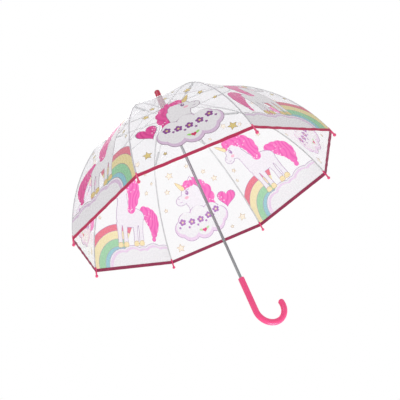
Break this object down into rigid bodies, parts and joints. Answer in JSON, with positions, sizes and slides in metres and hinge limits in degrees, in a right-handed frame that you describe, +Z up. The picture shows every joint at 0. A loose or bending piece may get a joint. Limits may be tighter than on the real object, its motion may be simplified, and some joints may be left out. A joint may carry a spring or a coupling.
{
  "type": "children's umbrella",
  "caption": "Children's dome umbrella: clear printed film panels on wire ribs, sliding runner, spring catches and a hook handle.",
  "frame": {"origin": "on the shaft's axis at the height of the hook's lowest point, umbrella open", "axes": "+Z up the shaft to the finial, +X the way the hook opens and along rib 1"},
  "size_m": [0.7138, 0.7138, 0.68],
  "materials": {
    "clear_film": "clear glossy film with a printed pattern and a crimson bound hem",
    "pink_plastic": "glossy moulded plastic",
    "crimson_plastic": "glossy moulded plastic",
    "hub_plastic": "moulded plastic",
    "steel": "satin"
  },
  "bodies": {
    "frame": {"shaft": "steel", "handle": "pink_plastic", "finial": "crimson_plastic", "crown": "hub_plastic", "crown_ring": "steel", "film_washer": "hub_plastic", "stop_pin": "steel"},
    "runner": {"runner": "hub_plastic", "runner_ring": "steel"},
    "top_catch": {"top_catch": "steel"},
    "bottom_catch": {"bottom_catch": "steel"},
    "rib_1": {"rib_1": "steel", "rib_tip_1": "pink_plastic"},
    "stretcher_1": {"stretcher_1": "steel", "joint_rivet_1": "steel"},
    "panel_1_left": {"panel_1_left": "clear_film"},
    "panel_1_right": {"panel_1_right": "clear_film"},
    "rib_2": {"rib_2": "steel", "rib_tip_2": "pink_plastic"},
    "stretcher_2": {"stretcher_2": "steel", "joint_rivet_2": "steel"},
    "panel_2_left": {"panel_2_left": "clear_film"},
    "panel_2_right": {"panel_2_right": "clear_film"},
    "rib_3": {"rib_3": "steel", "rib_tip_3": "pink_plastic"},
    "stretcher_3": {"stretcher_3": "steel", "joint_rivet_3": "steel"},
    "panel_3_left": {"panel_3_left": "clear_film"},
    "panel_3_right": {"panel_3_right": "clear_film"},
    "rib_4": {"rib_4": "steel", "rib_tip_4": "pink_plastic"},
    "stretcher_4": {"stretcher_4": "steel", "joint_rivet_4": "steel"},
    "panel_4_left": {"panel_4_left": "clear_film"},
    "panel_4_right": {"panel_4_right": "clear_film"},
    "rib_5": {"rib_5": "steel", "rib_tip_5": "pink_plastic"},
    "stretcher_5": {"stretcher_5": "steel", "joint_rivet_5": "steel"},
    "panel_5_left": {"panel_5_left": "clear_film"},
    "panel_5_right": {"panel_5_right": "clear_film"},
    "rib_6": {"rib_6": "steel", "rib_tip_6": "pink_plastic"},
    "stretcher_6": {"stretcher_6": "steel", "joint_rivet_6": "steel"},
    "panel_6_left": {"panel_6_left": "clear_film"},
    "panel_6_right": {"panel_6_right": "clear_film"},
    "rib_7": {"rib_7": "steel", "rib_tip_7": "pink_plastic"},
    "stretcher_7": {"stretcher_7": "steel", "joint_rivet_7": "steel"},
    "panel_7_left": {"panel_7_left": "clear_film"},
    "panel_7_right": {"panel_7_right": "clear_film"},
    "rib_8": {"rib_8": "steel", "rib_tip_8": "pink_plastic"},
    "stretcher_8": {"stretcher_8": "steel", "joint_rivet_8": "steel"},
    "panel_8_left": {"panel_8_left": "clear_film"},
    "panel_8_right": {"panel_8_right": "clear_film"}
  },
  "joints": [
    {"name": "runner_slide", "type": "slide", "parent": "frame", "child": "runner", "axis": [0, 0, -1], "range_m": [0, 0.31516]},
    {"name": "rib_1_hinge", "type": "hinge", "parent": "frame", "child": "rib_1", "pos_m": [0.0062, 0, 0.623], "axis": [0, 1, 0], "range_deg": [0, 48.5]},
    {"name": "stretcher_1_hinge", "type": "hinge", "parent": "runner", "child": "stretcher_1", "pos_m": [0.0062, 0, 0.593], "axis": [0, -1, 0], "range_deg": [0, 72.81]},
    {"name": "rib_2_hinge", "type": "hinge", "parent": "frame", "child": "rib_2", "pos_m": [0.00438, 0.00438, 0.623], "axis": [-0.7071, 0.7071, 0], "range_deg": [0, 48.5]},
    {"name": "stretcher_2_hinge", "type": "hinge", "parent": "runner", "child": "stretcher_2", "pos_m": [0.00438, 0.00438, 0.593], "axis": [0.7071, -0.7071, 0], "range_deg": [0, 72.81]},
    {"name": "rib_3_hinge", "type": "hinge", "parent": "frame", "child": "rib_3", "pos_m": [0, 0.0062, 0.623], "axis": [-1, 0, 0], "range_deg": [0, 48.5]},
    {"name": "stretcher_3_hinge", "type": "hinge", "parent": "runner", "child": "stretcher_3", "pos_m": [0, 0.0062, 0.593], "axis": [1, 0, 0], "range_deg": [0, 72.81]},
    {"name": "rib_4_hinge", "type": "hinge", "parent": "frame", "child": "rib_4", "pos_m": [-0.00438, 0.00438, 0.623], "axis": [-0.7071, -0.7071, 0], "range_deg": [0, 48.5]},
    {"name": "stretcher_4_hinge", "type": "hinge", "parent": "runner", "child": "stretcher_4", "pos_m": [-0.00438, 0.00438, 0.593], "axis": [0.7071, 0.7071, 0], "range_deg": [0, 72.81]},
    {"name": "rib_5_hinge", "type": "hinge", "parent": "frame", "child": "rib_5", "pos_m": [-0.0062, 0, 0.623], "axis": [0, -1, 0], "range_deg": [0, 48.5]},
    {"name": "stretcher_5_hinge", "type": "hinge", "parent": "runner", "child": "stretcher_5", "pos_m": [-0.0062, 0, 0.593], "axis": [0, 1, 0], "range_deg": [0, 72.81]},
    {"name": "rib_6_hinge", "type": "hinge", "parent": "frame", "child": "rib_6", "pos_m": [-0.00438, -0.00438, 0.623], "axis": [0.7071, -0.7071, 0], "range_deg": [0, 48.5]},
    {"name": "stretcher_6_hinge", "type": "hinge", "parent": "runner", "child": "stretcher_6", "pos_m": [-0.00438, -0.00438, 0.593], "axis": [-0.7071, 0.7071, 0], "range_deg": [0, 72.81]},
    {"name": "rib_7_hinge", "type": "hinge", "parent": "frame", "child": "rib_7", "pos_m": [0, -0.0062, 0.623], "axis": [1, 0, 0], "range_deg": [0, 48.5]},
    {"name": "stretcher_7_hinge", "type": "hinge", "parent": "runner", "child": "stretcher_7", "pos_m": [0, -0.0062, 0.593], "axis": [-1, 0, 0], "range_deg": [0, 72.81]},
    {"name": "rib_8_hinge", "type": "hinge", "parent": "frame", "child": "rib_8", "pos_m": [0.00438, -0.00438, 0.623], "axis": [0.7071, 0.7071, 0], "range_deg": [0, 48.5]},
    {"name": "stretcher_8_hinge", "type": "hinge", "parent": "runner", "child": "stretcher_8", "pos_m": [0.00438, -0.00438, 0.593], "axis": [-0.7071, -0.7071, 0], "range_deg": [0, 72.81]},
    {"name": "panel_1_left_fold", "type": "hinge", "parent": "rib_1", "child": "panel_1_left", "pos_m": [0.0062, 0.00123, 0.623], "axis": [-0.4423, -0.8745, -0.1992], "range_deg": [0, 23.59], "deforming": ["panel_1_left"]},
    {"name": "panel_1_right_fold", "type": "hinge", "parent": "rib_2", "child": "panel_1_right", "pos_m": [0.0062, 0.00123, 0.623], "axis": [0.9311, -0.3056, 0.1992], "range_deg": [0, 23.59], "deforming": ["panel_1_right"]},
    {"name": "panel_2_left_fold", "type": "hinge", "parent": "rib_2", "child": "panel_2_left", "pos_m": [0.00351, 0.00526, 0.623], "axis": [0.3056, -0.9311, -0.1992], "range_deg": [0, 23.59], "deforming": ["panel_2_left"]},
    {"name": "panel_2_right_fold", "type": "hinge", "parent": "rib_3", "child": "panel_2_right", "pos_m": [0.00351, 0.00526, 0.623], "axis": [0.8745, 0.4423, 0.1992], "range_deg": [0, 23.59], "deforming": ["panel_2_right"]},
    {"name": "panel_3_left_fold", "type": "hinge", "parent": "rib_3", "child": "panel_3_left", "pos_m": [-0.00123, 0.0062, 0.623], "axis": [0.8745, -0.4423, -0.1992], "range_deg": [0, 23.59], "deforming": ["panel_3_left"]},
    {"name": "panel_3_right_fold", "type": "hinge", "parent": "rib_4", "child": "panel_3_right", "pos_m": [-0.00123, 0.0062, 0.623], "axis": [0.3056, 0.9311, 0.1992], "range_deg": [0, 23.59], "deforming": ["panel_3_right"]},
    {"name": "panel_4_left_fold", "type": "hinge", "parent": "rib_4", "child": "panel_4_left", "pos_m": [-0.00526, 0.00351, 0.623], "axis": [0.9311, 0.3056, -0.1992], "range_deg": [0, 23.59], "deforming": ["panel_4_left"]},
    {"name": "panel_4_right_fold", "type": "hinge", "parent": "rib_5", "child": "panel_4_right", "pos_m": [-0.00526, 0.00351, 0.623], "axis": [-0.4423, 0.8745, 0.1992], "range_deg": [0, 23.59], "deforming": ["panel_4_right"]},
    {"name": "panel_5_left_fold", "type": "hinge", "parent": "rib_5", "child": "panel_5_left", "pos_m": [-0.0062, -0.00123, 0.623], "axis": [0.4423, 0.8745, -0.1992], "range_deg": [0, 23.59], "deforming": ["panel_5_left"]},
    {"name": "panel_5_right_fold", "type": "hinge", "parent": "rib_6", "child": "panel_5_right", "pos_m": [-0.0062, -0.00123, 0.623], "axis": [-0.9311, 0.3056, 0.1992], "range_deg": [0, 23.59], "deforming": ["panel_5_right"]},
    {"name": "panel_6_left_fold", "type": "hinge", "parent": "rib_6", "child": "panel_6_left", "pos_m": [-0.00351, -0.00526, 0.623], "axis": [-0.3056, 0.9311, -0.1992], "range_deg": [0, 23.59], "deforming": ["panel_6_left"]},
    {"name": "panel_6_right_fold", "type": "hinge", "parent": "rib_7", "child": "panel_6_right", "pos_m": [-0.00351, -0.00526, 0.623], "axis": [-0.8745, -0.4423, 0.1992], "range_deg": [0, 23.59], "deforming": ["panel_6_right"]},
    {"name": "panel_7_left_fold", "type": "hinge", "parent": "rib_7", "child": "panel_7_left", "pos_m": [0.00123, -0.0062, 0.623], "axis": [-0.8745, 0.4423, -0.1992], "range_deg": [0, 23.59], "deforming": ["panel_7_left"]},
    {"name": "panel_7_right_fold", "type": "hinge", "parent": "rib_8", "child": "panel_7_right", "pos_m": [0.00123, -0.0062, 0.623], "axis": [-0.3056, -0.9311, 0.1992], "range_deg": [0, 23.59], "deforming": ["panel_7_right"]},
    {"name": "panel_8_left_fold", "type": "hinge", "parent": "rib_8", "child": "panel_8_left", "pos_m": [0.00526, -0.00351, 0.623], "axis": [-0.9311, -0.3056, -0.1992], "range_deg": [0, 23.59], "deforming": ["panel_8_left"]},
    {"name": "panel_8_right_fold", "type": "hinge", "parent": "rib_1", "child": "panel_8_right", "pos_m": [0.00526, -0.00351, 0.623], "axis": [0.4423, -0.8745, 0.1992], "range_deg": [0, 23.59], "deforming": ["panel_8_right"]},
    {"name": "top_catch_press", "type": "hinge", "parent": "frame", "child": "top_catch", "pos_m": [0.00189, 0.00078, 0.545], "axis": [0.3827, -0.9239, 0], "range_deg": [0, 5.02], "stiffness_Nm_per_rad": 1.2, "springref_deg": -2.86},
    {"name": "bottom_catch_press", "type": "hinge", "parent": "frame", "child": "bottom_catch", "pos_m": [0.00189, 0.00078, 0.249], "axis": [0.3827, -0.9239, 0], "range_deg": [0, 5.02], "stiffness_Nm_per_rad": 1.2, "springref_deg": -2.86}
  ],
  "couplings": [
    {"joint": "rib_1_hinge", "follows": "runner_slide", "rad_per_m": 2.685},
    {"joint": "stretcher_1_hinge", "follows": "runner_slide", "rad_per_m": 4.0312},
    {"joint": "rib_2_hinge", "follows": "runner_slide", "rad_per_m": 2.685},
    {"joint": "stretcher_2_hinge", "follows": "runner_slide", "rad_per_m": 4.0312},
    {"joint": "rib_3_hinge", "follows": "runner_slide", "rad_per_m": 2.685},
    {"joint": "stretcher_3_hinge", "follows": "runner_slide", "rad_per_m": 4.0312},
    {"joint": "rib_4_hinge", "follows": "runner_slide", "rad_per_m": 2.685},
    {"joint": "stretcher_4_hinge", "follows": "runner_slide", "rad_per_m": 4.0312},
    {"joint": "rib_5_hinge", "follows": "runner_slide", "rad_per_m": 2.685},
    {"joint": "stretcher_5_hinge", "follows": "runner_slide", "rad_per_m": 4.0312},
    {"joint": "rib_6_hinge", "follows": "runner_slide", "rad_per_m": 2.685},
    {"joint": "stretcher_6_hinge", "follows": "runner_slide", "rad_per_m": 4.0312},
    {"joint": "rib_7_hinge", "follows": "runner_slide", "rad_per_m": 2.685},
    {"joint": "stretcher_7_hinge", "follows": "runner_slide", "rad_per_m": 4.0312},
    {"joint": "rib_8_hinge", "follows": "runner_slide", "rad_per_m": 2.685},
    {"joint": "stretcher_8_hinge", "follows": "runner_slide", "rad_per_m": 4.0312},
    {"joint": "panel_1_left_fold", "follows": "runner_slide", "rad_per_m": 1.305},
    {"joint": "panel_1_right_fold", "follows": "runner_slide", "rad_per_m": 1.305},
    {"joint": "panel_2_left_fold", "follows": "runner_slide", "rad_per_m": 1.305},
    {"joint": "panel_2_right_fold", "follows": "runner_slide", "rad_per_m": 1.305},
    {"joint": "panel_3_left_fold", "follows": "runner_slide", "rad_per_m": 1.305},
    {"joint": "panel_3_right_fold", "follows": "runner_slide", "rad_per_m": 1.305},
    {"joint": "panel_4_left_fold", "follows": "runner_slide", "rad_per_m": 1.305},
    {"joint": "panel_4_right_fold", "follows": "runner_slide", "rad_per_m": 1.305},
    {"joint": "panel_5_left_fold", "follows": "runner_slide", "rad_per_m": 1.305},
    {"joint": "panel_5_right_fold", "follows": "runner_slide", "rad_per_m": 1.305},
    {"joint": "panel_6_left_fold", "follows": "runner_slide", "rad_per_m": 1.305},
    {"joint": "panel_6_right_fold", "follows": "runner_slide", "rad_per_m": 1.305},
    {"joint": "panel_7_left_fold", "follows": "runner_slide", "rad_per_m": 1.305},
    {"joint": "panel_7_right_fold", "follows": "runner_slide", "rad_per_m": 1.305},
    {"joint": "panel_8_left_fold", "follows": "runner_slide", "rad_per_m": 1.305},
    {"joint": "panel_8_right_fold", "follows": "runner_slide", "rad_per_m": 1.305}
  ]
}
